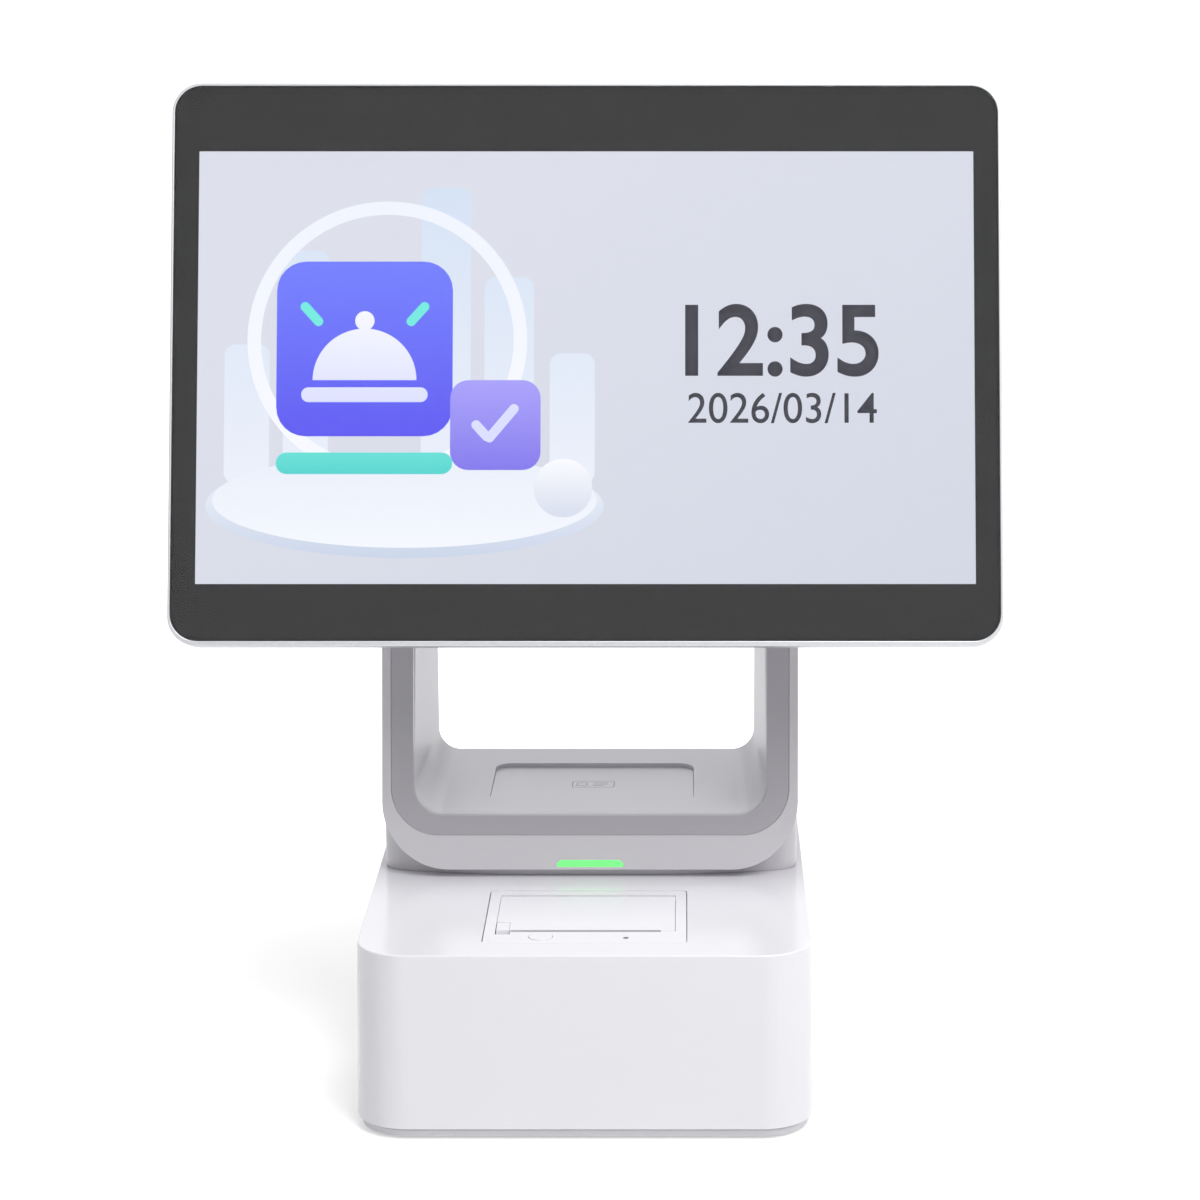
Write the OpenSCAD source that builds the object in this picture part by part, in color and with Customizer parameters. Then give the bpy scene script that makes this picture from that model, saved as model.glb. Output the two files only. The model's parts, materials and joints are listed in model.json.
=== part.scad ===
// Visitor management terminal: a tilting touch screen on an arch over a base with a receipt printer.
// Millimetres, +Z up, front towards -Y, origin on the table under the middle of the base.

/* [Screen] */
// Width of the visible picture
window_w = 344.2; // [240:0.2:400]
// Height of the visible picture
window_h = 193; // [150:0.5:230]
// Black border beside the picture
border_side = 10.8; // [8:0.2:20]
// Black border above the picture
border_top = 29.2; // [15:0.2:40]
// Black border below the picture
border_bottom = 25.2; // [15:0.2:40]
// Corner radius of the glass
glass_r = 12; // [6:0.5:20]
// Thickness of the cover glass
glass_t = 1.8; // [1:0.1:3]
// Silver rim beside and above the glass
rim_w = 1.2; // [0.8:0.1:3]
// Silver rim below the glass
rim_low = 2.4; // [0.8:0.1:4]
// Depth of the silver frame behind the glass face
frame_depth = 13; // [11:0.5:18]
// Depth of the screen at its bulged back
screen_depth = 36; // [33:0.5:42]
// Lean of the screen from upright, in degrees
tilt = 16.9; // [14:0.1:22]
// Height of the picture centre above the table
screen_z = 325.5; // [318:0.5:335]
// Picture centre ahead of the foot of the arch
screen_ahead = 12; // [8:0.5:14]

/* [Arch] */
// Setback of the arch from each side of the base
arch_inset = 3; // [2:0.1:8]
// Height of the arch above its lower lip
arch_h = 241.6; // [232:0.5:250]
// Setback of the lower lip from the front of the base
arch_setback = 108; // [106:0.5:112]
// Lean of the arch front, in degrees
lean = 12; // [10:0.1:14]
// Height of the card floor above the base
floor_h = 28.6; // [27:0.1:36]
// Width of each arch leg beside the opening
leg_w = 14.5; // [14:0.1:20]
// Narrowing of the opening on each side towards the back
open_taper = 3.7; // [1:0.1:6]
// Height of the opening
open_h = 125; // [105:1:130]
// Width of the dark band beside the opening
band_w = 10.2; // [6:0.1:11]
// Width of the dark band below the opening
band_low = 8.8; // [7:0.1:12]
// Thickness of the front ring, front to back
ring_d = 6.5; // [6:0.1:7.5]
// Width of the green light
light_w = 30.4; // [20:0.2:50]

/* [Base] */
// Width of the base
base_w = 198.4; // [196:0.2:230]
// Depth of the base
base_d = 230.5; // [226:0.5:250]
// Height of the base top above the table
base_top = 84.5; // [82:0.5:95]
// Plan corner radius of the base
base_r = 22; // [16:0.5:24]
// Rounding of the base's top edge
base_edge = 0.8; // [0.5:0.1:3]
// Flare of each base wall towards its foot
base_flare = 1.35; // [0:0.05:2]
// Wall of the base and arch mouldings
wall = 2.6; // [2.2:0.1:3]
// Height of the rubber feet
foot_h = 1.2; // [0.8:0.1:4]
// Height of the bottom tray's rim
skirt_h = 3.1; // [3:0.1:6]

/* [Printer] */
// Width of the printer panel in the base top
lid_w = 88.9; // [88:0.1:96]
// Depth of the printer panel
lid_d = 71.8; // [71:0.1:78]
// Distance of the printer panel from the front of the base
lid_front = 17.4; // [14:0.1:22]
// Diameter of the platen roller
platen_d = 10; // [9:0.1:10.4]
// Diameter of the feed button
feed_d = 10.6; // [8:0.1:10.8]
// Travel of the feed button
feed_travel = 0.8; // [0.4:0.1:0.8]
// Teeth of the platen gear
platen_teeth = 20; // [18:1:20]
// Teeth of the idler gear
idler_teeth = 25; // [23:1:26]
// Teeth of the motor pinion
pinion_teeth = 12; // [10:1:13]

/* [Hidden] */
$fn = 48;
eps = 0.02;
run = 0.05;
slip = 0.15;
seam = 1.1;
top_t = 3;
gear_m = 0.6;

glass_w = window_w + 2 * border_side;
glass_z0 = -window_h / 2 - border_bottom;
glass_z1 = window_h / 2 + border_top;
mask_t = 0.3;
mask_y = glass_t + 0.05;
lcd_y = mask_y + mask_t;
lcd_t = 3.6;
lcd_w = window_w + 7.8;
lcd_h = window_h + 9;
plate_t = 1.2;
cover_t = 2.4;
rim_flat = 6;
board_y = 22;
board_w = 170;
board_h = 110;
bulge_w = 234;
bulge_h = 140;
speaker_x = 100;
speaker_w = 50;
speaker_h = 20;

base_front = -base_d / 2;
base_back = base_d / 2;
tray_z0 = foot_h;
tray_z1 = foot_h + skirt_h;
cover_z0 = tray_z1 + seam;
ceiling_z = base_top - top_t;

arch_hw = base_w / 2 - arch_inset;
open_hw = arch_hw - leg_w;
arch_y0 = base_front + arch_setback;
arch_z0 = base_top + 3.9;
arch_back = base_back - wall;
arch_top = arch_z0 + arch_h;
arch_r = 31;
floor_z = base_top + floor_h;
open_top = floor_z + open_h;
open_r = 13.5;
band_r = 21.5;
liner_t = 2.4;
band_t = 3;
toe_front = arch_y0 + 4.8;
// The foot's front bows back gently from here, with a bow of this radius, into rounded corners
toe_flat = 28;
toe_bow = 250;
toe_r = 10;
toe_side = 26;
arch_back_r = base_r - 5;
corner_top = arch_z0 + arch_r - 2;

screen_y = arch_y0 - screen_ahead;
hinge_depth = 50;
hinge_y = screen_y + hinge_depth * cos(tilt);
hinge_z = screen_z - hinge_depth * sin(tilt);
hinge_r = 8;
leaf_w = 124;
leaf_h = 48;
pin_r = 4;
// Hinge axis seen from the leaning arch front
axis_y = (hinge_y - arch_y0) * cos(lean) - (hinge_z - arch_z0) * sin(lean);
axis_z = (hinge_y - arch_y0) * sin(lean) + (hinge_z - arch_z0) * cos(lean);

lid_y0 = base_front + lid_front;
lid_y1 = lid_y0 + lid_d;
lid_top = base_top - 0.2;
door_hw = lid_w / 2 - 4.95;
door_gap = 0.2;
door_y0 = lid_y0 + 15.8;
door_t = 2;
door_z0 = lid_top - door_t;
door_axis_y = lid_y1 - 8.2;
door_axis_z = door_z0 - 0.1;
gear_x1 = door_hw - 0.4;
gear_x0 = gear_x1 - 2.6;
trough_x1 = gear_x0 - 0.5;
trough_x0 = trough_x1 - 2;
ear_x1 = trough_x0 - 0.6;
ear_x0 = ear_x1 - 2.4;
slit_hw = ear_x1 - 0.2;
platen_y = lid_y0 + 22.4;
platen_z = door_z0 - 7.1;
platen_hl = ear_x0 - 2;
trough_y0 = platen_y - 2.8;
trough_y1 = door_axis_y + 1;
trough_r = (trough_y1 - trough_y0) / 2;
trough_y = (trough_y0 + trough_y1) / 2;
trough_z = base_top - 32.5;
bracket_x = gear_x1 + 1.9;
bracket_t = 1.2;

// The idler lies straight below the platen's opening path, so the gears part cleanly
arm_y = platen_y - door_axis_y;
arm_z = platen_z - door_axis_z;
arm = sqrt(arm_y * arm_y + arm_z * arm_z);
mesh_gap = 0.1;
idler_c = (platen_teeth + idler_teeth) * gear_m / 2 + mesh_gap;
idler_y = platen_y - idler_c * arm_z / arm;
idler_z = platen_z + idler_c * arm_y / arm;
pinion_c = (idler_teeth + pinion_teeth) * gear_m / 2 + mesh_gap;
pinion_dir = -57;
pinion_y = idler_y + pinion_c * cos(pinion_dir);
pinion_z = idler_z + pinion_c * sin(pinion_dir);
idler_dir = atan2(idler_z - platen_z, idler_y - platen_y);
idler_turn = idler_dir + 180 + 180 / idler_teeth;
// Turn of the pinion that puts a gap opposite the idler tooth nearest the line of centres
idler_phase = (pinion_dir - idler_turn) * idler_teeth / 360;
pinion_turn = pinion_dir + 180 + 180 / pinion_teeth
  + (idler_phase - round(idler_phase)) * 360 / pinion_teeth;

feed_x = 13.8 - slit_hw;
feed_y = lid_y0 + 8.5;
lens_x = slit_hw - 15.2;
lens_y = lid_y0 + 6.8;
lens_r = 1.3;
lever_x0 = -door_hw + 0.2;
lever_x1 = lever_x0 + 5.7;
lever_axis_y = door_y0 + 10.4;
lever_axis_z = lid_top - 1;
lever_pin_r = 0.6;
pcb_z1 = ceiling_z - 6.9;

io_z = 32;
io_hw = 48;
io_hh = 12;
io_board_z = 25;
power_x = 42;
boss_x = base_w / 2 - 14;
boss_y = base_d / 2 - 14;
arch_screw_x = boss_x - 15.2;
power_board_x = -base_w / 2 + 29.2;
power_board_w = 40;
power_board_d = 120;
power_board_z = 14;
ballast_w = 96;
ballast_d = 64;
ballast_t = 6;
pad_hw = 48;
pad_y0 = arch_y0 + (floor_z - arch_z0) * tan(lean) + ring_d + 18.4;
pad_d = 63.3;
pad_r = 8;
pad_slip = 0.1;

// Plane shapes

module rrect(w, d, r) {
  square([w - 2 * r, d], center = true);
  square([w, d - 2 * r], center = true);
  for (sx = [-1, 1], sy = [-1, 1])
    translate([sx * (w / 2 - r), sy * (d / 2 - r)]) circle(r);
}

module span(x0, x1, y0, y1) {
  translate([x0, y0]) square([x1 - x0, y1 - y0]);
}

module block(x0, x1, y0, y1, z0, z1) {
  translate([x0, y0, z0]) cube([x1 - x0, y1 - y0, z1 - z0]);
}

// Extrudes an outline seen from the front, between two depths
module along_y(y0, y1) {
  translate([0, y1, 0]) rotate([90, 0, 0]) linear_extrude(y1 - y0) children();
}

// Extrudes an outline seen from the right, between two sides
module along_x(x0, x1) {
  translate([x0, 0, 0]) rotate([90, 0, 90]) linear_extrude(x1 - x0) children();
}

module both_sides() {
  children();
  mirror([1, 0, 0]) children();
}

// Frame of the screen: y runs back from the glass face, z up the screen
module in_screen() {
  translate([0, screen_y, screen_z]) rotate([-tilt, 0, 0]) children();
}

// Frame of the leaning arch front
module in_arch() {
  translate([0, arch_y0, arch_z0]) rotate([-lean, 0, 0]) children();
}

// Frame of the thermal head, turned about the platen axis
module at_head() {
  translate([0, platen_y, platen_z]) rotate([25, 0, 0]) children();
}

function front_y(z) = arch_y0 + (z - arch_z0) * tan(lean);

// Side view of a slab parallel to the leaning front
module lean_slab(a, b, z0, z1) {
  polygon([[front_y(z0) + a, z0], [front_y(z0) + b, z0], [front_y(z1) + b, z1], [front_y(z1) + a, z1]]);
}

// Side view of everything behind the leaning front
module lean_behind(a, back, z0, z1) {
  polygon([[front_y(z0) + a, z0], [back, z0], [back, z1], [front_y(z1) + a, z1]]);
}

module opening(hw, z0, z1, r) {
  translate([0, (z0 + z1) / 2]) rrect(2 * hw, z1 - z0, r);
}

module gear_outline(teeth, bore_r) {
  rp = teeth * gear_m / 2;
  rr = rp - 1.15 * gear_m;
  ro = rp + 0.85 * gear_m;
  difference() {
    union() {
      circle(rr);
      for (i = [0 : teeth - 1])
        rotate(i * 360 / teeth)
          polygon([[rr - 0.3, -0.62], [ro, -0.2], [ro, 0.2], [rr - 0.3, 0.62]]);
    }
    circle(bore_r);
  }
}

module gear(teeth, bore_r, y, z, turn) {
  along_x(gear_x0, gear_x1) translate([y, z]) rotate(turn) gear_outline(teeth, bore_r);
}

// Block with upright rounded corners, a rounded top edge and walls that flare to the foot
module soft_block(w, d, r, h, e, flare) {
  corner_w = w / 2 - r;
  corner_d = d / 2 - r;
  block(-corner_w, corner_w, -corner_d, corner_d, 0, h);
  for (a = [0, 180]) {
    rotate(a) translate([0, corner_d, 0]) along_x(-corner_w, corner_w) edge_profile(r, h, e, flare);
    rotate(a + 90) translate([0, corner_w, 0]) along_x(-corner_d, corner_d) edge_profile(r, h, e, flare);
  }
  for (a = [0, 180]) {
    rotate(a) translate([corner_w, corner_d, 0]) rotate_extrude(angle = 90) edge_profile(r, h, e, flare);
    rotate(a) translate([-corner_w, corner_d, 0]) rotate(90)
      rotate_extrude(angle = 90) edge_profile(r, h, e, flare);
  }
}

module edge_profile(r, h, e, flare) {
  polygon([[0, 0], [r + flare, 0], [r, h - e], [0, h - e]]);
  square([r - e, h]);
  translate([r - e, h - e]) circle(e);
}

// Base

module base_cover() {
  color("white") difference() {
    union() {
      difference() {
        translate([0, 0, cover_z0])
          soft_block(base_w, base_d, base_r, base_top - cover_z0, base_edge, base_flare);
        translate([0, 0, cover_z0 - 1])
          linear_extrude(ceiling_z - cover_z0 + 1)
            rrect(base_w - 2 * wall, base_d - 2 * wall, base_r - wall);
      }
      for (sx = [-1, 1], sy = [-1, 1])
        translate([sx * boss_x, sy * boss_y, tray_z1]) cylinder(r = 4, h = ceiling_z - tray_z1 + 1);
    }
    for (sx = [-1, 1], sy = [-1, 1])
      translate([sx * boss_x, sy * boss_y, tray_z1 - 1]) cylinder(r = 1.3 + eps, h = 16);
    translate([0, (lid_y0 + lid_y1) / 2, ceiling_z - 1])
      linear_extrude(top_t + 2) rrect(lid_w + 0.9, lid_d + 0.5, 2.3);
    along_y(base_back - wall - 1, base_back + base_flare + 1)
      translate([0, io_z]) rrect(2 * io_hw, 2 * io_hh, 3);
    translate([0, arch_back - 41, ceiling_z - 1]) cylinder(r = 12, h = top_t + 2);
    arch_screw_places() translate([0, 0, ceiling_z - 1]) cylinder(r = 2.1, h = top_t + 2);
  }
}

module arch_screw_places() {
  for (sx = [-1, 1], y = [toe_front + 24, arch_back - 14]) translate([sx * arch_screw_x, y, 0]) children();
}

module base_bottom() {
  lip_w = base_w - 2 * wall - 0.4;
  lip_d = base_d - 2 * wall - 0.4;
  lip_r = base_r - wall - 0.2;
  color("gainsboro") difference() {
    union() {
      translate([0, 0, tray_z0]) linear_extrude(skirt_h) rrect(base_w - 1.6, base_d - 1.6, base_r - 0.8);
      translate([0, 0, tray_z1 - 1]) linear_extrude(5.2) difference() {
        rrect(lip_w, lip_d, lip_r);
        rrect(lip_w - 4, lip_d - 4, lip_r - 2);
      }
      power_posts() translate([0, 0, tray_z1 - 1]) cylinder(r = 3, h = power_board_z - tray_z1 + 1);
      io_posts() translate([0, 0, tray_z1 - 1]) cylinder(r = 3, h = io_board_z - 1.6 - tray_z1 + 1);
    }
    feet_places() translate([0, 0, tray_z0 - 1]) cylinder(r = 8.1, h = 1.8);
    for (sx = [-1, 1], sy = [-1, 1]) translate([sx * boss_x, sy * boss_y, 0]) {
      translate([0, 0, tray_z0 - 1]) cylinder(r = 2.9, h = 2.8);
      translate([0, 0, tray_z0 - 1]) cylinder(r = 1.6, h = skirt_h + 2);
    }
  }
}

module power_posts() {
  for (sx = [-1, 1], sy = [-1, 1])
    translate([power_board_x + sx * (power_board_w / 2 - 4), sy * (power_board_d / 2 - 6), 0]) children();
}

module io_posts() {
  for (sx = [-1, 1], y = [base_back - 42, base_back - 12]) translate([sx * 46, y, 0]) children();
}

module feet_places() {
  for (sx = [-1, 1], sy = [-1, 1])
    translate([sx * (base_w / 2 - 26), sy * (base_d / 2 - 26), 0]) children();
}

module rubber_feet() {
  color("dimgray") feet_places() cylinder(r = 8, h = foot_h + 0.8);
}

module base_screws() {
  color("silver") for (sx = [-1, 1], sy = [-1, 1])
    translate([sx * boss_x, sy * boss_y, 0]) {
      translate([0, 0, tray_z0 + 0.2]) difference() {
        cylinder(r = 2.6, h = 1.6);
        translate([-1.8, -0.35, -1]) cube([3.6, 0.7, 1.7]);
        translate([-0.35, -1.8, -1]) cube([0.7, 3.6, 1.7]);
      }
      translate([0, 0, tray_z0 + 1.8]) cylinder(r = 1.3, h = 14);
    }
}

module ballast_plate() {
  hole_x = ballast_w / 2 - 10;
  hole_y = ballast_d / 2 - 10;
  color("slategray") translate([0, base_back - ballast_d - 20, tray_z1])
    linear_extrude(ballast_t) difference() {
    rrect(ballast_w, ballast_d, 4);
    for (sx = [-1, 1], sy = [-1, 1]) translate([sx * hole_x, sy * hole_y]) circle(2.5);
  }
}

module power_board() {
  half_w = power_board_w / 2;
  half_d = power_board_d / 2;
  color("darkgreen") translate([power_board_x, 0, power_board_z]) {
    block(-half_w, half_w, -half_d, half_d, 0, 1.6);
    block(6 - half_w, half_w - 6, -14, 14, 1.6, 24);
    block(2 - half_w, half_w - 14, 20, 36, 1.6, 16);
    for (y = [14, 30]) translate([12 - half_w, y - half_d, 1.6]) cylinder(r = 6.5, h = 24);
    block(half_w - 12, half_w - 4, 10 - half_d, 38 - half_d, 1.6, 20);
  }
}

module io_board() {
  color("darkgreen") {
    block(-52, 52, base_back - 48, base_back - 5, io_board_z - 1.6, io_board_z);
    block(-8, 8, base_back - 44, base_back - 30, io_board_z, io_board_z + 1.6);
    block(-30, -20, base_back - 44, base_back - 34, io_board_z, io_board_z + 1.2);
  }
}

module io_panel() {
  color("dimgray") difference() {
    union() {
      along_y(base_back - wall - 2, base_back - wall)
        translate([0, io_z]) rrect(2 * io_hw + 8, 2 * io_hh + 8, 4);
      along_y(base_back - wall - 1, base_back - 1.2)
        translate([0, io_z]) rrect(2 * io_hw - 0.4, 2 * io_hh - 0.4, 2.8);
    }
    along_y(base_back - 10, base_back + 1) {
      span(-44.2, -33.8, io_board_z - 0.2, io_board_z + 11.2);
      span(-22.2, -5.8, io_board_z - 0.2, io_board_z + 13.7);
      for (x = [6, 24]) span(x - 7.4, x + 7.4, io_board_z - 0.2, io_board_z + 7.6);
      translate([power_x, io_z]) circle(4.9);
    }
  }
}

module dc_jack() {
  color("black") {
    difference() {
      block(-44, -34, base_back - 16, base_back - 1.6, io_board_z, io_board_z + 11);
      along_y(base_back - 11, base_back) translate([-39, io_board_z + 5.5]) circle(3);
    }
    along_y(base_back - 12, base_back - 3) translate([-39, io_board_z + 5.5]) circle(1);
  }
}

module lan_jack() {
  color("silver") difference() {
    block(-22, -6, base_back - 22, base_back - 1.4, io_board_z, io_board_z + 13.5);
    along_y(base_back - 14, base_back) span(-20, -8, io_board_z + 2, io_board_z + 10.5);
    along_y(base_back - 14, base_back) span(-17, -11, io_board_z + 10, io_board_z + 12.3);
  }
}

module usb_ports() {
  color("silver") for (x = [6, 24]) difference() {
    block(x - 7.2, x + 7.2, base_back - 18, base_back - 1.4, io_board_z, io_board_z + 7.4);
    along_y(base_back - 14, base_back) span(x - 6.2, x + 6.2, io_board_z + 1.1, io_board_z + 6.3);
  }
}

module power_switch() {
  color("black")
    block(power_x - 5, power_x + 5, base_back - 20, base_back - 8.8, io_board_z, io_board_z + 11);
}

module power_button() {
  color("silver") {
    along_y(base_back - 5.5, base_back - 0.4) translate([power_x, io_z]) circle(4.6);
    along_y(base_back - 7.1, base_back - 5.1) translate([power_x, io_z]) circle(6);
  }
}

// Printer

module printer_frame() {
  mid_y = (lid_y0 + lid_y1) / 2;
  color("whitesmoke") difference() {
    union() {
      translate([0, mid_y, ceiling_z]) linear_extrude(lid_top - ceiling_z) rrect(lid_w, lid_d, 2);
      // The flange bears on the underside of the base top, the rib inside it joins flange and panel
      translate([0, mid_y, ceiling_z - 2]) linear_extrude(2) difference() {
        rrect(lid_w + 7, lid_d + 7, 3);
        square([lid_w - 4, lid_d - 4], center = true);
      }
      translate([0, mid_y, ceiling_z - 2]) linear_extrude(3) difference() {
        rrect(lid_w, lid_d, 2);
        square([lid_w - 4, lid_d - 4], center = true);
      }
      along_x(-trough_x1, trough_x1) trough_outline(2);
      both_sides() {
        block(trough_x0, lid_w / 2 - 0.2, door_y0 + 15, lid_y1 - 4, ceiling_z - 4.5, ceiling_z - 2);
        block(lid_w / 2 - 3, lid_w / 2 - 0.2, door_y0 + 15, lid_y1 - 1, ceiling_z - 4.5, ceiling_z);
        block(door_hw + door_gap, lid_w / 2 - 0.2, door_axis_y - 3, door_axis_y + 3,
          ceiling_z - 2, ceiling_z + 1);
        translate([platen_hl, lid_y0 + 4.6, pcb_z1]) cylinder(r = 2, h = ceiling_z - pcb_z1 + 1);
      }
      block(-lid_w / 2 + 0.2, lid_w / 2 - 0.2, trough_y1, lid_y1 - 0.5, ceiling_z - 4.5, ceiling_z - 2);
      along_x(trough_x1 - 1, bracket_x) {
        translate([trough_y - 3.5, trough_z + 14]) circle(3);
        translate([trough_y - trough_r - 0.5, trough_z - 2]) circle(3);
      }
    }
    along_x(-trough_x0, trough_x0) trough_outline(0);
    // Opening for the door, and room for the platen and its gear
    block(-door_hw - door_gap, door_hw + door_gap, door_y0 - door_gap, door_axis_y + 2.75,
      ceiling_z - 2, lid_top + 1);
    block(-trough_x1 - 1, trough_x1 + 1, trough_y0 - 3, platen_y + 7.2, platen_z - 6.2, ceiling_z + 0);
    block(-trough_x0, trough_x0, trough_y0 - 3, trough_y0 + 1, platen_z - 12.2, ceiling_z);
    // Notch for the tear bar and the finger scoop before the release lever
    block(-slit_hw, slit_hw, door_y0 - door_gap - 0.9, door_y0, ceiling_z + 0.1, lid_top + 1);
    block(-door_hw - door_gap, -door_hw + 6.4, door_y0 - 4.4, door_y0, ceiling_z + 1.3, lid_top + 1);
    translate([feed_x, feed_y, ceiling_z - 1]) cylinder(r = feed_d / 2 + 0.2, h = 8);
    translate([lens_x, lens_y, ceiling_z - 1]) cylinder(r = lens_r + run, h = 8);
    along_x(-lid_w / 2 + 0.8, lid_w / 2 - 0.8) translate([door_axis_y, door_axis_z]) circle(1);
  }
}

// Side view of the paper bucket, grown by its wall
module trough_outline(grow) {
  translate([trough_y, trough_z]) circle(trough_r + grow);
  span(trough_y0 - grow, trough_y1 + grow, trough_z, ceiling_z - 2 + (grow > 0 ? 0 : 3));
}

module paper_door() {
  color("whitesmoke") difference() {
    union() {
      block(-door_hw, door_hw, door_y0, door_axis_y, door_z0, lid_top);
      along_x(-door_hw, door_hw) translate([door_axis_y, door_axis_z]) circle(2.05);
      both_sides() along_x(ear_x0, ear_x1) {
        translate([platen_y, platen_z]) circle(5.5);
        span(platen_y - 5.3, platen_y + 6, platen_z, door_z0 + 0.5);
      }
    }
    block(-slit_hw, slit_hw, door_y0 - 1, door_y0 + 1.4, door_z0 - 1, lid_top + 1);
    block(-door_hw - 1, lever_x1 + slip, door_y0 - 1, lever_axis_y + 1.5, door_z0 - 0.1, lid_top + 1);
    along_x(-door_hw - 1, door_hw + 1) translate([door_axis_y, door_axis_z]) circle(1 + run);
    along_x(-door_hw, door_hw) translate([platen_y, platen_z]) circle(3.5);
    along_x(lever_x1, lever_x1 + 4.3) translate([lever_axis_y, lever_axis_z]) circle(lever_pin_r);
  }
}

module door_pin() {
  color("silver") along_x(-lid_w / 2 + 0.9, lid_w / 2 - 0.9)
    translate([door_axis_y, door_axis_z]) circle(1);
}

module release_lever() {
  color("lightgray") along_x(lever_x0, lever_x1) difference() {
    union() {
      span(door_y0 + 0.2, lever_axis_y, door_z0 + 0.3, lid_top + 0.3);
      span(door_y0 + 0.2, door_y0 + 2, door_z0 - 0.6, lid_top + 0.3);
      translate([lever_axis_y, lever_axis_z]) circle(1.2);
    }
    translate([lever_axis_y, lever_axis_z]) circle(lever_pin_r + run);
  }
}

module lever_pin() {
  color("silver") along_x(lever_x0 + 0.4, lever_x1 + 4.2)
    translate([lever_axis_y, lever_axis_z]) circle(lever_pin_r);
}

module platen_roller() {
  color("dimgray") along_x(-platen_hl, platen_hl) translate([platen_y, platen_z]) difference() {
    circle(platen_d / 2);
    circle(2);
  }
}

module platen_shaft() {
  color("silver") along_x(0.5 - trough_x1, gear_x1 + 0.5) translate([platen_y, platen_z]) circle(2);
}

module platen_gear() {
  color("ivory") gear(platen_teeth, 2, platen_y, platen_z, idler_dir);
}

module platen_bushes() {
  color("peru") both_sides() along_x(ear_x0, ear_x1) translate([platen_y, platen_z]) difference() {
    circle(3.5);
    circle(2 + run);
  }
}

module thermal_head() {
  face = -platen_d / 2 - 0.25;
  head_hw = platen_hl + 1;
  fins = floor(head_hw / 6);
  color("darkslategray") at_head() difference() {
    block(-head_hw, head_hw, face - 6, face, -6, 5);
    for (i = [-fins : fins]) block(i * 5 - 1, i * 5 + 1, face - 7, face - 2.6, -7, 2);
    block(-head_hw - 1, head_hw + 1, face - 0.6, face + 1, 2, 6);
  }
}

module head_bracket() {
  face = -platen_d / 2 - 6.25;
  color("silver") at_head() difference() {
    block(-trough_x1, trough_x1, face - 1.2, face, -12.4, 5);
    for (sx = [-1, 1]) along_y(face - 2, face + 1) translate([sx * (trough_x1 - 3), -8]) circle(1.6);
  }
}

module tear_bar() {
  y0 = door_y0 - door_gap - 0.9;
  teeth = 44;
  pitch = 2 * (slit_hw - 0.2) / teeth;
  color("silver") along_y(y0, y0 + 0.7) {
    span(-slit_hw + 0.2, slit_hw - 0.2, ceiling_z + 0.1, lid_top - 0.9);
    for (i = [0 : teeth - 1]) translate([-slit_hw + 0.2 + i * pitch, lid_top - 1])
      polygon([[0, 0], [pitch, 0], [pitch / 2, 0.8]]);
  }
}

module motor_bracket() {
  color("silver") {
    along_x(bracket_x, bracket_x + bracket_t) difference() {
      union() {
        span(trough_y - trough_r - 5, trough_y + 2, trough_z - 10, trough_z + 20);
      }
      translate([pinion_y, pinion_z]) circle(3 + eps);
    }
    along_x(trough_x1, bracket_x + 0.5) translate([idler_y, idler_z]) circle(1.5);
  }
}

module feed_motor() {
  color("gray") difference() {
    union() {
      along_x(bracket_x + bracket_t, bracket_x + 17) translate([pinion_y, pinion_z]) circle(11);
      along_x(bracket_x, bracket_x + bracket_t + 1) translate([pinion_y, pinion_z]) circle(3);
    }
    along_x(bracket_x - 1, bracket_x + 5) translate([pinion_y, pinion_z]) circle(1 + run);
  }
}

module motor_pinion() {
  color("goldenrod") {
    gear(pinion_teeth, 1, pinion_y, pinion_z, pinion_turn);
    along_x(gear_x0, bracket_x + 4) translate([pinion_y, pinion_z]) circle(1);
  }
}

module idler_gear() {
  color("ivory") gear(idler_teeth, 1.5 + run, idler_y, idler_z, idler_turn);
}

module feed_button() {
  color("whitesmoke") {
    translate([feed_x, feed_y, ceiling_z - 0.3]) cylinder(r = feed_d / 2, h = lid_top - ceiling_z + 0.6);
    translate([feed_x, feed_y, ceiling_z - 1.3]) cylinder(r = feed_d / 2 + 0.7, h = 1);
    translate([feed_x, feed_y - 3.2, ceiling_z - 1.75]) cylinder(r = 1.5, h = 1);
  }
}

module feed_switch() {
  color("black") block(feed_x - 3, feed_x + 3, feed_y - 6.9, feed_y - 0.9, pcb_z1, ceiling_z - 2.7);
}

module printer_board() {
  color("darkgreen") {
    block(2 - trough_x0, trough_x0 - 2, lid_y0 + 0.6, lid_y0 + 7.8, pcb_z1 - 1.6, pcb_z1);
    block(-8, 6, lid_y0 + 1.6, lid_y0 + 6.4, pcb_z1, pcb_z1 + 1.2);
  }
}

module printer_lens() {
  color("dimgray") translate([lens_x, lens_y, pcb_z1]) cylinder(r = lens_r, h = lid_top - pcb_z1);
}

// Arch

module arch_plan(grow) {
  toe_x = arch_hw - toe_r;
  reach = toe_bow - toe_r;
  toe_y = toe_front + toe_bow - sqrt(reach * reach - pow(toe_x - toe_flat, 2));
  meet_x = toe_x + toe_r * (toe_x - toe_flat) / reach;
  arch_rear(grow, toe_y);
  for (sx = [-1, 1]) translate([sx * toe_x, toe_y]) circle(toe_r - grow);
  intersection() {
    span(-meet_x, meet_x, toe_front + grow, toe_y + 1);
    union() {
      span(-toe_flat, toe_flat, toe_front + grow, toe_y + 1);
      for (sx = [-1, 1]) translate([sx * toe_flat, toe_front + toe_bow]) circle(toe_bow - grow, $fn = 360);
    }
  }
}

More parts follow.
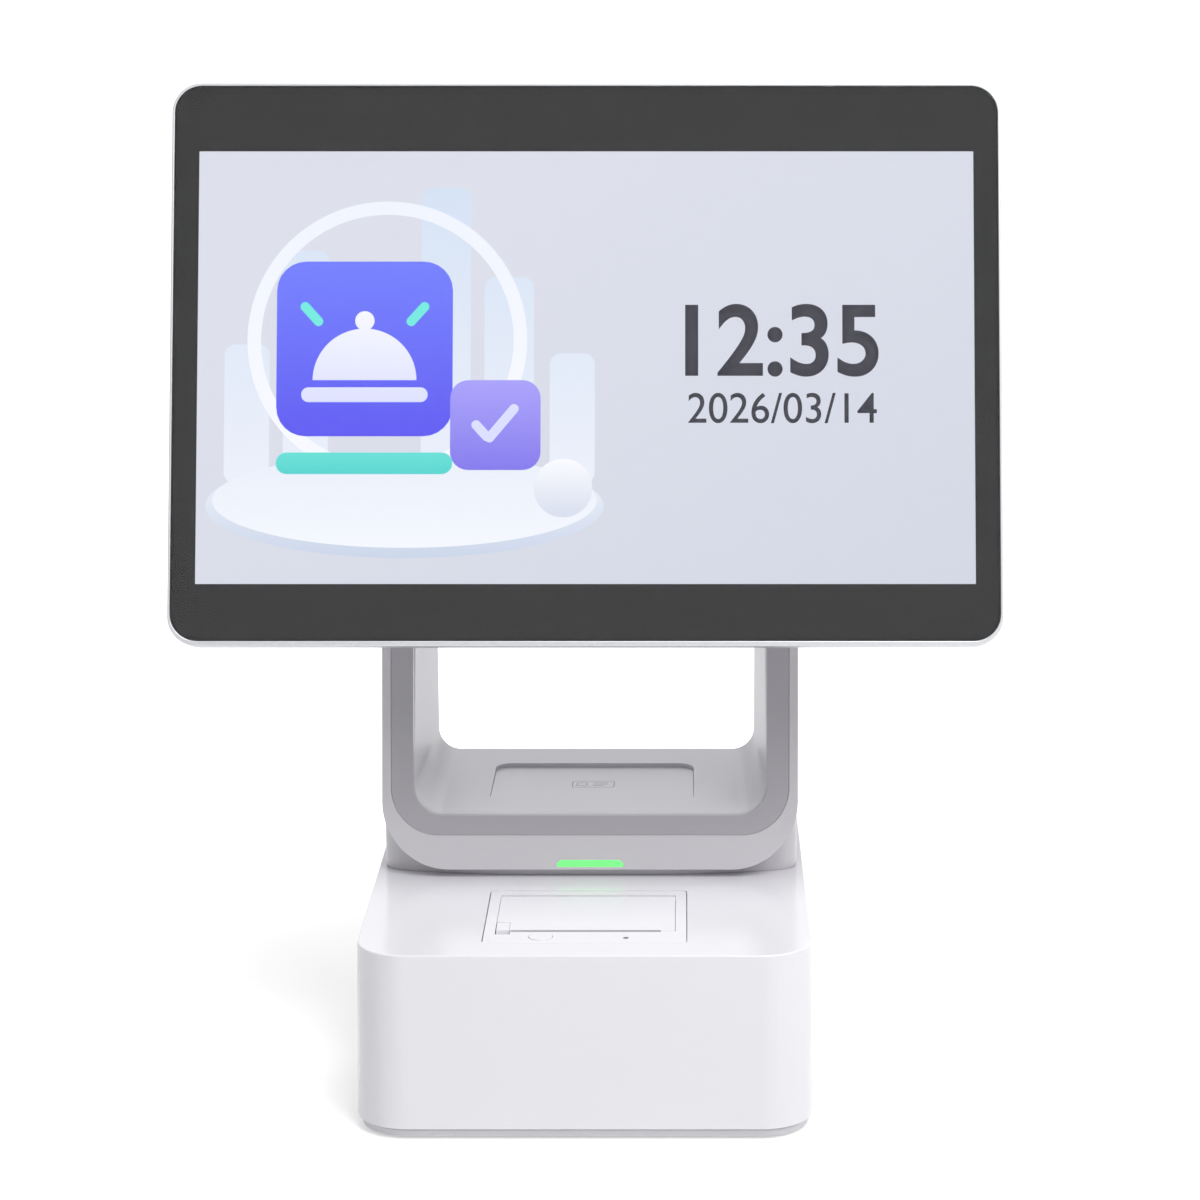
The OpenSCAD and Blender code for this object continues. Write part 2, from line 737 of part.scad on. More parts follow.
// Plan of the shell behind a depth, with rounded rear corners
module arch_rear(grow, y0) {
  w = arch_hw - grow;
  back_x = arch_hw - arch_back_r;
  back_y = arch_back - arch_back_r;
  span(-w, w, y0, back_y);
  span(-back_x, back_x, back_y - 1, arch_back - grow);
  for (sx = [-1, 1]) translate([sx * back_x, back_y]) circle(arch_back_r - grow);
}

// Front view of the shell: square feet, rounded shoulders
module arch_outline(grow, z0) {
  w = arch_hw - grow;
  r = arch_r - grow;
  z1 = arch_top - grow;
  span(-w, w, z0, z1 - r);
  span(-w + r, w - r, z1 - r - 1, z1);
  for (sx = [-1, 1]) translate([sx * (w - r), z1 - r]) circle(r);
}

module arch_shell() {
  color("white") difference() {
    union() {
      translate([0, 0, base_top]) linear_extrude(arch_z0 - base_top) arch_plan(0);
      intersection() {
        translate([0, 0, arch_z0 - 1]) linear_extrude(corner_top - arch_z0 + 2) arch_plan(0);
        along_x(-arch_hw - 1, arch_hw + 1)
          lean_behind(ring_d, arch_back + 1, arch_z0 - 1.5, corner_top + 1.5);
      }
      intersection() {
        along_y(arch_y0, arch_back + 1) arch_outline(0, corner_top);
        translate([0, 0, corner_top - 1]) linear_extrude(arch_top - corner_top + 2) arch_rear(0, arch_y0);
        along_x(-arch_hw - 1, arch_hw + 1)
          lean_behind(ring_d, arch_back + 2, corner_top - 1, arch_top + 1);
      }
    }
    intersection() {
      translate([0, 0, arch_z0]) linear_extrude(corner_top - arch_z0 + 1) {
        arch_plan(wall);
        span(toe_side - arch_hw, arch_hw - toe_side, toe_front - 1, toe_front + toe_side);
      }
      along_x(-arch_hw, arch_hw) lean_behind(ring_d - 1, arch_back - wall, arch_z0 - 1, corner_top + 2);
    }
    intersection() {
      along_y(arch_y0, arch_back) arch_outline(wall, corner_top + 0.5);
      translate([0, 0, corner_top]) linear_extrude(arch_top - corner_top) arch_rear(wall, arch_y0);
      along_x(-arch_hw, arch_hw) lean_behind(ring_d - 1, arch_back, corner_top, arch_top + 1);
    }
    along_y(arch_back - wall - 1, arch_back + 1)
      opening(open_hw - open_taper + liner_t + 0.3, floor_z - liner_t - 0.2,
        open_top - open_taper + liner_t + 0.3, open_r - 1);
    translate([0, arch_back - 41, base_top - 1]) cylinder(r = 12, h = 6);
    arch_screw_places() translate([0, 0, base_top - 1]) cylinder(r = 2 + eps, h = 6);
  }
}

module arch_front() {
  color("white") difference() {
    intersection() {
      along_y(arch_y0 - 1, arch_back) difference() {
        opening(arch_hw, arch_z0, arch_top, arch_r);
        opening(open_hw, floor_z, open_top, open_r);
      }
      along_x(-arch_hw - 1, arch_hw + 1) lean_slab(0, ring_d, arch_z0 - 1, arch_top + 1);
    }
    intersection() {
      along_y(arch_y0 - 1, arch_back) band_outer(0.1);
      along_x(-arch_hw, arch_hw) lean_slab(-1, band_t, arch_z0, arch_top);
    }
    along_y(arch_y0 - 2, arch_y0 + 20) light_outline(0.1);
  }
}

module band_outer(grow) {
  opening(open_hw + band_w + grow, floor_z - band_low - grow,
    open_top + band_low + grow, band_r + grow);
}

module arch_band() {
  color("darkgray") intersection() {
    along_y(arch_y0 - 1, arch_back) difference() {
      band_outer(0);
      opening(open_hw, floor_z, open_top, open_r);
    }
    along_x(-arch_hw, arch_hw) lean_slab(0, band_t, arch_z0, arch_top);
  }
}

// The opening narrows towards the back: its floor stays level
module tunnel(grow) {
  y_a = front_y(floor_z) + ring_d;
  slope = open_taper / (arch_back - y_a);
  hull() for (y = [y_a - 2, arch_back + 4])
    along_y(y, y + 0.2)
      opening(open_hw + grow - slope * (y - y_a), floor_z - grow,
        open_top + grow - slope * (y - y_a), open_r + grow - slope * (y - y_a) * 0.7);
}

module tunnel_liner() {
  color("white") difference() {
    intersection() {
      difference() {
        tunnel(liner_t);
        tunnel(0);
      }
      along_x(-arch_hw, arch_hw) lean_behind(ring_d, arch_back, arch_z0, arch_top);
    }
    translate([0, pad_y0 + pad_d / 2, floor_z - 5])
      linear_extrude(6) rrect(2 * (pad_hw + pad_slip), pad_d + 2 * pad_slip, pad_r + pad_slip);
  }
}

module card_pad() {
  under = floor_z - liner_t;
  color("gainsboro") {
    intersection() {
      translate([0, pad_y0 + pad_d / 2, under - 1]) linear_extrude(10) rrect(2 * pad_hw, pad_d, pad_r);
      along_x(-pad_hw - 1, pad_hw + 1)
        polygon([[pad_y0, under - 1], [pad_y0 + pad_d, under - 1],
          [pad_y0 + pad_d, floor_z - 2], [pad_y0, floor_z - 0.1]]);
    }
    block(-pad_hw - 3, pad_hw + 3, pad_y0 - 1, pad_y0 + pad_d + 3, under - 2.4, under);
    for (sx = [-1, 1], y = [pad_y0 + 9, pad_y0 + 49])
      translate([sx * 40, y, under - 6.3]) cylinder(r = 2.5, h = 4.5);
  }
}

module card_reader_board() {
  z1 = floor_z - liner_t - 6.3;
  color("darkgreen") {
    block(-44, 44, pad_y0 + 4, pad_y0 + 54, z1 - 1.6, z1);
    block(-7, 7, pad_y0 + 22, pad_y0 + 36, z1, z1 + 1.4);
    block(18, 30, pad_y0 + 26, pad_y0 + 34, z1, z1 + 1.2);
  }
}

module light_outline(grow) {
  w = light_w / 2 + grow;
  z0 = arch_z0 + 1.5 - grow;
  z1 = arch_z0 + 4.3 + grow;
  polygon([[-w, z0], [w, z0], [w, z1 - 1.7], [w - 1.7, z1], [-w + 1.7, z1], [-w, z1 - 1.7]]);
}

module status_light() {
  color("lime") {
    intersection() {
      along_y(arch_y0 - 2, arch_y0 + 20) light_outline(0);
      along_x(-30, 30) lean_slab(0, ring_d + 0.6, arch_z0 - 1, arch_z0 + 8);
    }
    along_x(-light_w / 2 - 2, light_w / 2 + 2)
      lean_slab(ring_d, ring_d + 1.2, arch_z0 + 0.2, arch_z0 + 5.8);
  }
}

module light_board() {
  color("darkgreen")
    along_x(-light_w / 2 - 5, light_w / 2 + 5)
      lean_slab(ring_d + 1.2, ring_d + 2.8, arch_z0 + 0.1, arch_z0 + 9);
}

module arch_screws() {
  color("silver") arch_screw_places() {
    translate([0, 0, ceiling_z - 3]) difference() {
      cylinder(r = 3.5, h = 3);
      translate([0, 0, -1]) cylinder(r = 1.7, h = 3, $fn = 6);
    }
    translate([0, 0, ceiling_z - 0.5]) cylinder(r = 2, h = arch_z0 - ceiling_z + 0.3);
  }
}

// Hinge

module hinge_lug(tip_y, tip_z, root_y) {
  translate([tip_y, tip_z]) circle(hinge_r);
  polygon([[tip_y, tip_z - hinge_r], [root_y, tip_z - hinge_r - 2],
    [root_y, tip_z + hinge_r + 2], [tip_y, tip_z + hinge_r]]);
}

module hinge_base() {
  color("dimgray") in_arch() difference() {
    union() {
      along_y(-2, 0) translate([0, axis_z - 6]) rrect(leaf_w, leaf_h - 12, 4);
      both_sides() along_x(30, 42) hinge_lug(axis_y, axis_z, -1);
    }
    along_x(-70, 70) translate([axis_y, axis_z]) circle(pin_r + run);
    for (sx = [-1, 1], sz = [-1, 1])
      along_y(-3, 1) translate([sx * (leaf_w / 2 - 8), axis_z - 6 + sz * (leaf_h / 2 - 13)]) circle(2.2);
  }
}

module hinge_leaf() {
  color("dimgray") in_screen() difference() {
    union() {
      along_y(screen_depth, screen_depth + 3) rrect(leaf_w, leaf_h, 4);
      both_sides() along_x(43, 55) hinge_lug(hinge_depth, 0, screen_depth + 1);
    }
    along_x(-70, 70) translate([hinge_depth, 0]) circle(pin_r);
    for (sx = [-1, 1], sz = [-1, 1])
      along_y(screen_depth - 1, screen_depth + 4)
        translate([sx * (leaf_w / 4 - 1), sz * (leaf_h / 2 - 8)]) circle(2.2);
  }
}

module hinge_pins() {
  color("silver") in_screen() both_sides() {
    along_x(29, 56) translate([hinge_depth, 0]) circle(pin_r);
    along_x(55, 57.5) translate([hinge_depth, 0]) circle(6);
  }
}

module hinge_washers() {
  color("peru") in_screen() both_sides() along_x(42.2, 43) translate([hinge_depth, 0]) difference() {
    circle(7);
    circle(pin_r);
  }
}

// Screen

module glass_outline(grow) {
  translate([0, (glass_z0 + glass_z1) / 2])
    rrect(glass_w + 2 * grow, glass_z1 - glass_z0 + 2 * grow, glass_r + grow);
}

module touch_glass() {
  color("lightblue", 0.5) in_screen() along_y(0, glass_t) glass_outline(-0.1);
}

module glass_mask() {
  color("black") in_screen() along_y(mask_y, lcd_y) difference() {
    glass_outline(-0.1);
    square([window_w, window_h], center = true);
  }
}

module lcd_panel() {
  color("lavender") in_screen() along_y(lcd_y, lcd_y + lcd_t) square([lcd_w, lcd_h], center = true);
}

module lcd_backplate() {
  y0 = lcd_y + lcd_t;
  color("lightsteelblue") in_screen() {
    along_y(y0, y0 + plate_t) difference() {
      square([lcd_w, lcd_h], center = true);
      translate([0, -lcd_h / 2 + 12]) square([40, 8], center = true);
    }
    along_y(y0 + 0.5, board_y)
      for (sx = [-1, 1], sz = [-1, 1])
        translate([sx * (board_w / 2 - 7), sz * (board_h / 2 - 7)]) circle(3);
  }
}

module screen_bezel() {
  z_mid = (glass_z0 + glass_z1 + rim_w - rim_low) / 2;
  h = glass_z1 - glass_z0 + rim_w + rim_low;
  color("silver") in_screen() difference() {
    along_y(-0.1, frame_depth) translate([0, z_mid]) rrect(glass_w + 2 * rim_w, h, glass_r + rim_w);
    along_y(-1, lcd_y) glass_outline(0);
    along_y(lcd_y - 1, frame_depth + 1) translate([0, (glass_z0 + glass_z1) / 2])
      rrect(lcd_w + 4, glass_z1 - glass_z0 - 14, 6);
    cover_screw_places() along_y(frame_depth - 6, frame_depth + 1) circle(1.25 + eps);
  }
}

module cover_screw_places() {
  z_mid = (glass_z0 + glass_z1) / 2;
  side = glass_w / 2 - 3;
  for (sx = [-1, 1], z = [glass_z0 + 30, z_mid, glass_z1 - 30]) translate([sx * side, 0, z]) children();
  for (sx = [-1, 1], z = [glass_z0 + 3, glass_z1 - 3]) translate([sx * 90, 0, z]) children();
}

// Shallow pyramid of the rear cover, shrunk by its wall
module cover_form(in) {
  z_mid = (glass_z0 + glass_z1) / 2;
  w = glass_w - 2 * rim_flat - 2 * in;
  h = glass_z1 - glass_z0 - 2 * rim_flat - 2 * in;
  hull() {
    along_y(frame_depth + 2.6 - in, frame_depth + 3 - in) translate([0, z_mid]) rrect(w, h, 10);
    along_y(screen_depth - 0.4 - in, screen_depth - in)
      translate([0, 2]) rrect(bulge_w - 2 * in, bulge_h - 2 * in, 18);
  }
}

module screen_rear_cover() {
  color("white") in_screen() difference() {
    union() {
      along_y(frame_depth, frame_depth + 3) glass_outline(0);
      cover_form(0);
    }
    cover_form(cover_t);
    along_y(frame_depth - 1, frame_depth + 1) translate([0, (glass_z0 + glass_z1) / 2])
      rrect(glass_w - 2 * rim_flat - 2 * cover_t, glass_z1 - glass_z0 - 2 * rim_flat - 2 * cover_t, 10);
    for (i = [-9 : 9]) along_y(screen_depth - 6, screen_depth + 1)
      translate([i * 7, 52]) rrect(2.6, 22, 1.29);
    for (i = [-9 : 9]) along_y(screen_depth - 6, screen_depth + 1)
      translate([i * 7, -52]) rrect(2.6, 14, 1.29);
    cover_screw_places() along_y(frame_depth - 1, frame_depth + 4) circle(1.5);
  }
}

module mainboard() {
  color("darkgreen") in_screen() {
    along_y(board_y, board_y + 1.6) square([board_w, board_h], center = true);
    along_y(board_y + 1.6, board_y + 3.4) span(-20, 20, -18, 22);
    for (i = [0 : 8]) along_y(board_y + 3.4, board_y + 9) span(-20 + i * 4.75, -18 + i * 4.75, -18, 22);
    along_y(board_y + 1.6, board_y + 6) span(36, 70, -30, 30);
    along_y(board_y + 1.6, board_y + 8) span(-74, -50, -44, -10);
  }
}

module speakers() {
  y0 = lcd_y + lcd_t + plate_t;
  x_mid = speaker_x + speaker_w / 2;
  z_mid = -lcd_h / 2 + speaker_h / 2 + 6;
  color("black") in_screen() both_sides() difference() {
    along_y(y0, y0 + 10) translate([x_mid, z_mid]) square([speaker_w, speaker_h], center = true);
    along_y(y0 + 8, y0 + 11) translate([x_mid, z_mid]) rrect(speaker_w - 8, speaker_h - 6, 6.9);
  }
}

module cover_screws() {
  color("gray") in_screen() cover_screw_places() {
    along_y(frame_depth - 5, frame_depth + 3.5) circle(1.25);
    difference() {
      along_y(frame_depth + 3, frame_depth + 4.4) circle(2.4);
      along_y(frame_depth + 3.8, frame_depth + 5) span(-1.6, 1.6, -0.3, 0.3);
    }
  }
}

base_cover();
base_bottom();
rubber_feet();
base_screws();
ballast_plate();
power_board();
io_board();
io_panel();
dc_jack();
lan_jack();
usb_ports();
power_switch();
power_button();
printer_frame();
paper_door();
door_pin();
release_lever();
lever_pin();
platen_roller();
platen_shaft();
platen_gear();
platen_bushes();
thermal_head();
head_bracket();
tear_bar();
motor_bracket();
feed_motor();
motor_pinion();
idler_gear();
feed_button();
feed_switch();
printer_board();
printer_lens();
arch_shell();
arch_front();
arch_band();
tunnel_liner();
card_pad();
card_reader_board();
status_light();
light_board();
arch_screws();
hinge_base();
hinge_leaf();
hinge_pins();
hinge_washers();
touch_glass();
glass_mask();
lcd_panel();
lcd_backplate();
screen_bezel();
screen_rear_cover();
mainboard();
speakers();
cover_screws();
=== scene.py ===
import json
import math

import bpy
from mathutils import Matrix, Vector

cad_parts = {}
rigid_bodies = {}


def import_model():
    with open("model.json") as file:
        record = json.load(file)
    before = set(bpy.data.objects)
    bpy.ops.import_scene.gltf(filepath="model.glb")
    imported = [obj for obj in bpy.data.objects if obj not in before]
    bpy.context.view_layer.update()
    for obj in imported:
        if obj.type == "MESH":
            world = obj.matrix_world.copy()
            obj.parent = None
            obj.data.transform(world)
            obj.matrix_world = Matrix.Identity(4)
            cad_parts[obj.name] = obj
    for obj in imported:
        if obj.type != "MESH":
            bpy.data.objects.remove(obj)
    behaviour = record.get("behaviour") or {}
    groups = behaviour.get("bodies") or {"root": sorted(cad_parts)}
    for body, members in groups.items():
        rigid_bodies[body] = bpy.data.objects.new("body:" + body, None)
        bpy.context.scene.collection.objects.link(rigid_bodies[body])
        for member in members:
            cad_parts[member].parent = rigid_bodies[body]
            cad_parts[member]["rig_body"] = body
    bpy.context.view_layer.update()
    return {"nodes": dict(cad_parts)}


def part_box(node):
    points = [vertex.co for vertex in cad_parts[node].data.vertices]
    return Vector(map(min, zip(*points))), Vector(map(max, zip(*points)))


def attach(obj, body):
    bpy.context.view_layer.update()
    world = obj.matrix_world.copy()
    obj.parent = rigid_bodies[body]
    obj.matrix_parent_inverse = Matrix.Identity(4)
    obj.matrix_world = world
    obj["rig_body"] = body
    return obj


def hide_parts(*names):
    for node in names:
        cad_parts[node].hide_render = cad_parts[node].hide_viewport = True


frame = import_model()


# Bottom tray: a shallow tray moulded in pale grey plastic that closes the base from below.
# Four steel screws pull it up to bosses in the cover, and rubber discs sit in sinks at its corners.

def paint(red, green, blue):
    """Linear colour for a shade read as 0 to 255 on a monitor."""
    shades = [shade / 255 for shade in (red, green, blue)]
    return tuple(((s + 0.055) / 1.055) ** 2.4 if s > 0.04 else s / 12.92 for s in shades)


def new_finish(name):
    """A new material, its node tree and its main shader."""
    finish = bpy.data.materials.new(name)
    finish.use_nodes = True
    tree = finish.node_tree
    return finish, tree, tree.nodes["Principled BSDF"]


def group_sockets(tree, inputs, outputs):
    """Names the sockets of a surface group and returns its two end nodes."""
    for label, kind, value in inputs:
        made = tree.interface.new_socket(label, in_out="INPUT", socket_type=kind)
        made.default_value = value
    for label, kind in outputs:
        tree.interface.new_socket(label, in_out="OUTPUT", socket_type=kind)
    return tree.nodes.new("NodeGroupInput"), tree.nodes.new("NodeGroupOutput")


# Spark-eroded mould grain: fine pits, a slow drift of shade and of gloss
mould_grain = bpy.data.node_groups.new("mould_grain", "ShaderNodeTree")
entry, leave = group_sockets(
    mould_grain,
    [
        ("Tone", "NodeSocketColor", (0.8, 0.8, 0.8, 1)),
        ("Gloss", "NodeSocketFloat", 0.4),
        ("Grain per metre", "NodeSocketFloat", 2500.0),
        ("Drift", "NodeSocketFloat", 0.03),
    ],
    [("Tone", "NodeSocketColor"), ("Gloss", "NodeSocketFloat"), ("Pits", "NodeSocketFloat")],
)
where = mould_grain.nodes.new("ShaderNodeTexCoord")
pits = mould_grain.nodes.new("ShaderNodeTexNoise")
pits.inputs["Detail"].default_value = 3
pits.inputs["Roughness"].default_value = 0.6
slow = mould_grain.nodes.new("ShaderNodeTexNoise")
slow.inputs["Scale"].default_value = 14
slow.inputs["Detail"].default_value = 2
lower = mould_grain.nodes.new("ShaderNodeMath")
lower.operation = "SUBTRACT"
lower.inputs[0].default_value = 1
level = mould_grain.nodes.new("ShaderNodeMath")
level.operation = "MULTIPLY"
tint = mould_grain.nodes.new("ShaderNodeMix")
tint.data_type = "RGBA"
tint.blend_type = "MULTIPLY"
tint.inputs["Factor"].default_value = 1
smear = mould_grain.nodes.new("ShaderNodeMath")
smear.operation = "MULTIPLY_ADD"
smear.inputs[1].default_value = 0.06
shine = mould_grain.nodes.new("ShaderNodeMath")
shine.operation = "SUBTRACT"
shine.inputs[1].default_value = 0.03
wire = mould_grain.links.new
wire(where.outputs["Object"], pits.inputs["Vector"])
wire(where.outputs["Object"], slow.inputs["Vector"])
wire(entry.outputs["Grain per metre"], pits.inputs["Scale"])
wire(slow.outputs["Fac"], level.inputs[0])
wire(entry.outputs["Drift"], level.inputs[1])
wire(level.outputs[0], lower.inputs[1])
wire(entry.outputs["Tone"], tint.inputs["A"])
wire(lower.outputs[0], tint.inputs["B"])
wire(slow.outputs["Fac"], smear.inputs[0])
wire(entry.outputs["Gloss"], smear.inputs[2])
wire(smear.outputs[0], shine.inputs[0])
wire(tint.outputs["Result"], leave.inputs["Tone"])
wire(shine.outputs[0], leave.inputs["Gloss"])
wire(pits.outputs["Fac"], leave.inputs["Pits"])


def moulded(name, tone, gloss, pit_depth, grain=2500.0, drift=0.03):
    """A plastic or rubber finish taken from a grained mould."""
    finish, tree, shader = new_finish(name)
    surface = tree.nodes.new("ShaderNodeGroup")
    surface.node_tree = mould_grain
    surface.inputs["Tone"].default_value = (*tone, 1)
    surface.inputs["Gloss"].default_value = gloss
    surface.inputs["Grain per metre"].default_value = grain
    surface.inputs["Drift"].default_value = drift
    relief = tree.nodes.new("ShaderNodeBump")
    relief.inputs["Distance"].default_value = pit_depth
    tree.links.new(surface.outputs["Tone"], shader.inputs["Base Color"])
    tree.links.new(surface.outputs["Gloss"], shader.inputs["Roughness"])
    tree.links.new(surface.outputs["Pits"], relief.inputs["Height"])
    tree.links.new(relief.outputs["Normal"], shader.inputs["Normal"])
    shader.inputs["IOR"].default_value = 1.5
    return finish


def dress(finish, *nodes):
    """Gives CAD nodes that stay on show their finish."""
    for name in nodes:
        shape = frame["nodes"][name].data
        shape.materials.clear()
        shape.materials.append(finish)


SHARP_ANGLE = math.radians(32)
FLAT_ANGLE = math.radians(0.4)
SAME_POINT = 0.000004
FLAT_WEIGHT = 80


def softened(node, finish, radius, steps=3, pierced=False):
    """A copy of a CAD piece with its knife edges rounded and its curves shaded smooth."""
    source = frame["nodes"][node]
    piece = bpy.data.objects.new(node + "_finished", source.data.copy())
    bpy.context.scene.collection.objects.link(piece)
    bpy.ops.object.select_all(action="DESELECT")
    bpy.context.view_layer.objects.active = piece
    piece.select_set(True)
    bpy.ops.mesh.customdata_custom_splitnormals_clear()
    bpy.ops.object.mode_set(mode="EDIT")
    bpy.ops.mesh.select_all(action="SELECT")
    bpy.ops.mesh.remove_doubles(threshold=SAME_POINT)
    bpy.ops.mesh.dissolve_limited(angle_limit=FLAT_ANGLE)
    if pierced:
        bpy.ops.mesh.quads_convert_to_tris(quad_method="BEAUTY", ngon_method="BEAUTY")
    bpy.ops.object.mode_set(mode="OBJECT")
    if radius:
        edge = piece.modifiers.new("edge", "BEVEL")
        edge.limit_method = "ANGLE"
        edge.angle_limit = SHARP_ANGLE
        edge.width = radius
        edge.segments = steps
        edge.use_clamp_overlap = False
        edge.miter_outer = "MITER_ARC"
        bpy.ops.object.modifier_apply(modifier=edge.name)
    bpy.ops.object.shade_smooth_by_angle(angle=SHARP_ANGLE)
    flats = piece.modifiers.new("flats", "WEIGHTED_NORMAL")
    flats.keep_sharp = True
    flats.weight = FLAT_WEIGHT
    bpy.ops.object.modifier_apply(modifier=flats.name)
    piece.data.materials.clear()
    piece.data.materials.append(finish)
    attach(piece, source["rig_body"])
    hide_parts(node)


tray_grey = moulded("tray_grey", paint(226, 225, 229), gloss=0.5, pit_depth=0.00002)
softened("base_bottom", tray_grey, radius=0.0005)
foot_rubber = moulded(
    "foot_rubber", paint(52, 52, 54), gloss=0.8, pit_depth=0.00006, grain=1400.0, drift=0.2
)
softened("rubber_feet", foot_rubber, radius=0.0005)

# Drawn metal: fine lines along one way, a little uneven in shade and gloss
drawn_metal = bpy.data.node_groups.new("drawn_metal", "ShaderNodeTree")
entry, leave = group_sockets(
    drawn_metal,
    [
        ("Tone", "NodeSocketColor", (0.6, 0.6, 0.6, 1)),
        ("Gloss", "NodeSocketFloat", 0.3),
        ("Line stretch", "NodeSocketVector", (40.0, 1800.0, 1800.0)),
    ],
    [("Tone", "NodeSocketColor"), ("Gloss", "NodeSocketFloat"), ("Lines", "NodeSocketFloat")],
)
where = drawn_metal.nodes.new("ShaderNodeTexCoord")
stretch = drawn_metal.nodes.new("ShaderNodeVectorMath")
stretch.operation = "MULTIPLY"
lines = drawn_metal.nodes.new("ShaderNodeTexNoise")
lines.inputs["Scale"].default_value = 1
lines.inputs["Detail"].default_value = 3
shade = drawn_metal.nodes.new("ShaderNodeMapRange")
shade.inputs["To Min"].default_value = 0.88
shade.inputs["To Max"].default_value = 1.06
tint = drawn_metal.nodes.new("ShaderNodeMix")
tint.data_type = "RGBA"
tint.blend_type = "MULTIPLY"
tint.inputs["Factor"].default_value = 1
smear = drawn_metal.nodes.new("ShaderNodeMath")
smear.operation = "MULTIPLY_ADD"
smear.inputs[1].default_value = 0.12
wire = drawn_metal.links.new
wire(where.outputs["Object"], stretch.inputs[0])
wire(entry.outputs["Line stretch"], stretch.inputs[1])
wire(stretch.outputs["Vector"], lines.inputs["Vector"])
wire(lines.outputs["Fac"], shade.inputs["Value"])
wire(entry.outputs["Tone"], tint.inputs["A"])
wire(shade.outputs["Result"], tint.inputs["B"])
wire(lines.outputs["Fac"], smear.inputs[0])
wire(entry.outputs["Gloss"], smear.inputs[2])
wire(tint.outputs["Result"], leave.inputs["Tone"])
wire(smear.outputs[0], leave.inputs["Gloss"])
wire(lines.outputs["Fac"], leave.inputs["Lines"])


def metal(name, tone, gloss, stretch_by, line_depth=0.000004):
    """A bare or plated metal finish with its drawing or milling lines."""
    finish, tree, shader = new_finish(name)
    shader.inputs["Metallic"].default_value = 1
    surface = tree.nodes.new("ShaderNodeGroup")
    surface.node_tree = drawn_metal
    surface.inputs["Tone"].default_value = (*tone, 1)
    surface.inputs["Gloss"].default_value = gloss
    surface.inputs["Line stretch"].default_value = stretch_by
    relief = tree.nodes.new("ShaderNodeBump")
    relief.inputs["Distance"].default_value = line_depth
    tree.links.new(surface.outputs["Tone"], shader.inputs["Base Color"])
    tree.links.new(surface.outputs["Gloss"], shader.inputs["Roughness"])
    tree.links.new(surface.outputs["Lines"], relief.inputs["Height"])
    tree.links.new(relief.outputs["Normal"], shader.inputs["Normal"])
    return finish


EVEN_LINES = (900.0, 900.0, 900.0)
LINES_ALONG_X = (60.0, 1800.0, 1800.0)
screw_zinc = metal("screw_zinc", paint(188, 190, 192), gloss=0.28, stretch_by=EVEN_LINES)
dress(screw_zinc, "base_screws")


# Ballast and boards in the base: a painted iron plate that holds the base down,
# the power board on posts along the left side, and the socket board at the back.

ballast_paint = moulded(
    "ballast_paint", paint(74, 78, 84), gloss=0.55, pit_depth=0.00012, grain=600.0, drift=0.2
)
dress(ballast_paint, "ballast_plate")

# Green solder mask over a grid of copper tracks, with bare pads between them
board_print = bpy.data.node_groups.new("board_print", "ShaderNodeTree")
entry, leave = group_sockets(
    board_print,
    [("Mask", "NodeSocketColor", (0.01, 0.12, 0.05, 1)), ("Track", "NodeSocketColor", (0.03, 0.2, 0.08, 1))],
    [("Tone", "NodeSocketColor"), ("Tracks", "NodeSocketFloat")],
)
where = board_print.nodes.new("ShaderNodeTexCoord")
tracks = board_print.nodes.new("ShaderNodeTexBrick")
tracks.inputs["Scale"].default_value = 160
tracks.inputs["Mortar Size"].default_value = 0.04
tracks.inputs["Color1"].default_value = (0, 0, 0, 1)
tracks.inputs["Color2"].default_value = (0.15, 0.15, 0.15, 1)
tracks.inputs["Mortar"].default_value = (1, 1, 1, 1)
copper = board_print.nodes.new("ShaderNodeMix")
copper.data_type = "RGBA"
wire = board_print.links.new
wire(where.outputs["Object"], tracks.inputs["Vector"])
wire(tracks.outputs["Color"], copper.inputs["Factor"])
wire(entry.outputs["Mask"], copper.inputs["A"])
wire(entry.outputs["Track"], copper.inputs["B"])
wire(copper.outputs["Result"], leave.inputs["Tone"])
wire(tracks.outputs["Fac"], leave.inputs["Tracks"])

board_green, tree, shader = new_finish("board_green")
surface = tree.nodes.new("ShaderNodeGroup")
surface.node_tree = board_print
surface.inputs["Mask"].default_value = (*paint(22, 84, 52), 1)
surface.inputs["Track"].default_value = (*paint(52, 122, 80), 1)
relief = tree.nodes.new("ShaderNodeBump")
relief.inputs["Distance"].default_value = 0.00003
shader.inputs["Roughness"].default_value = 0.35
tree.links.new(surface.outputs["Tone"], shader.inputs["Base Color"])
tree.links.new(surface.outputs["Tracks"], relief.inputs["Height"])
tree.links.new(relief.outputs["Normal"], shader.inputs["Normal"])
dress(board_green, "power_board", "io_board", "printer_board")
dress(board_green, "card_reader_board", "light_board", "mainboard")


# Rear sockets: a black panel behind a window of the cover, with plated shells for network and data plugs,
# a black power jack, and a turned metal key that presses the switch behind it.

socket_black = moulded("socket_black", paint(36, 36, 38), gloss=0.45, pit_depth=0.00003)
softened("io_panel", socket_black, radius=0.0003)
softened("dc_jack", socket_black, radius=0.0002)
dress(socket_black, "power_switch", "feed_switch", "speakers")
socket_tin = metal("socket_tin", paint(196, 196, 194), gloss=0.3, stretch_by=(1200.0, 60.0, 1200.0))
softened("lan_jack", socket_tin, radius=0.0002)
softened("usb_ports", socket_tin, radius=0.00015)
key_metal = metal("key_metal", paint(200, 201, 203), gloss=0.22, stretch_by=(1600.0, 90.0, 1600.0))
softened("power_button", key_metal, radius=0.0004)


# Base cover: the tall white housing, one deep moulding with rounded upright corners,
# glossy enough to mirror the arch faintly in its flat top.

shell_white = moulded(
    "shell_white", paint(236, 235, 239), gloss=0.16, pit_depth=0.000004, grain=3200.0, drift=0.02
)
softened("base_cover", shell_white, radius=0)


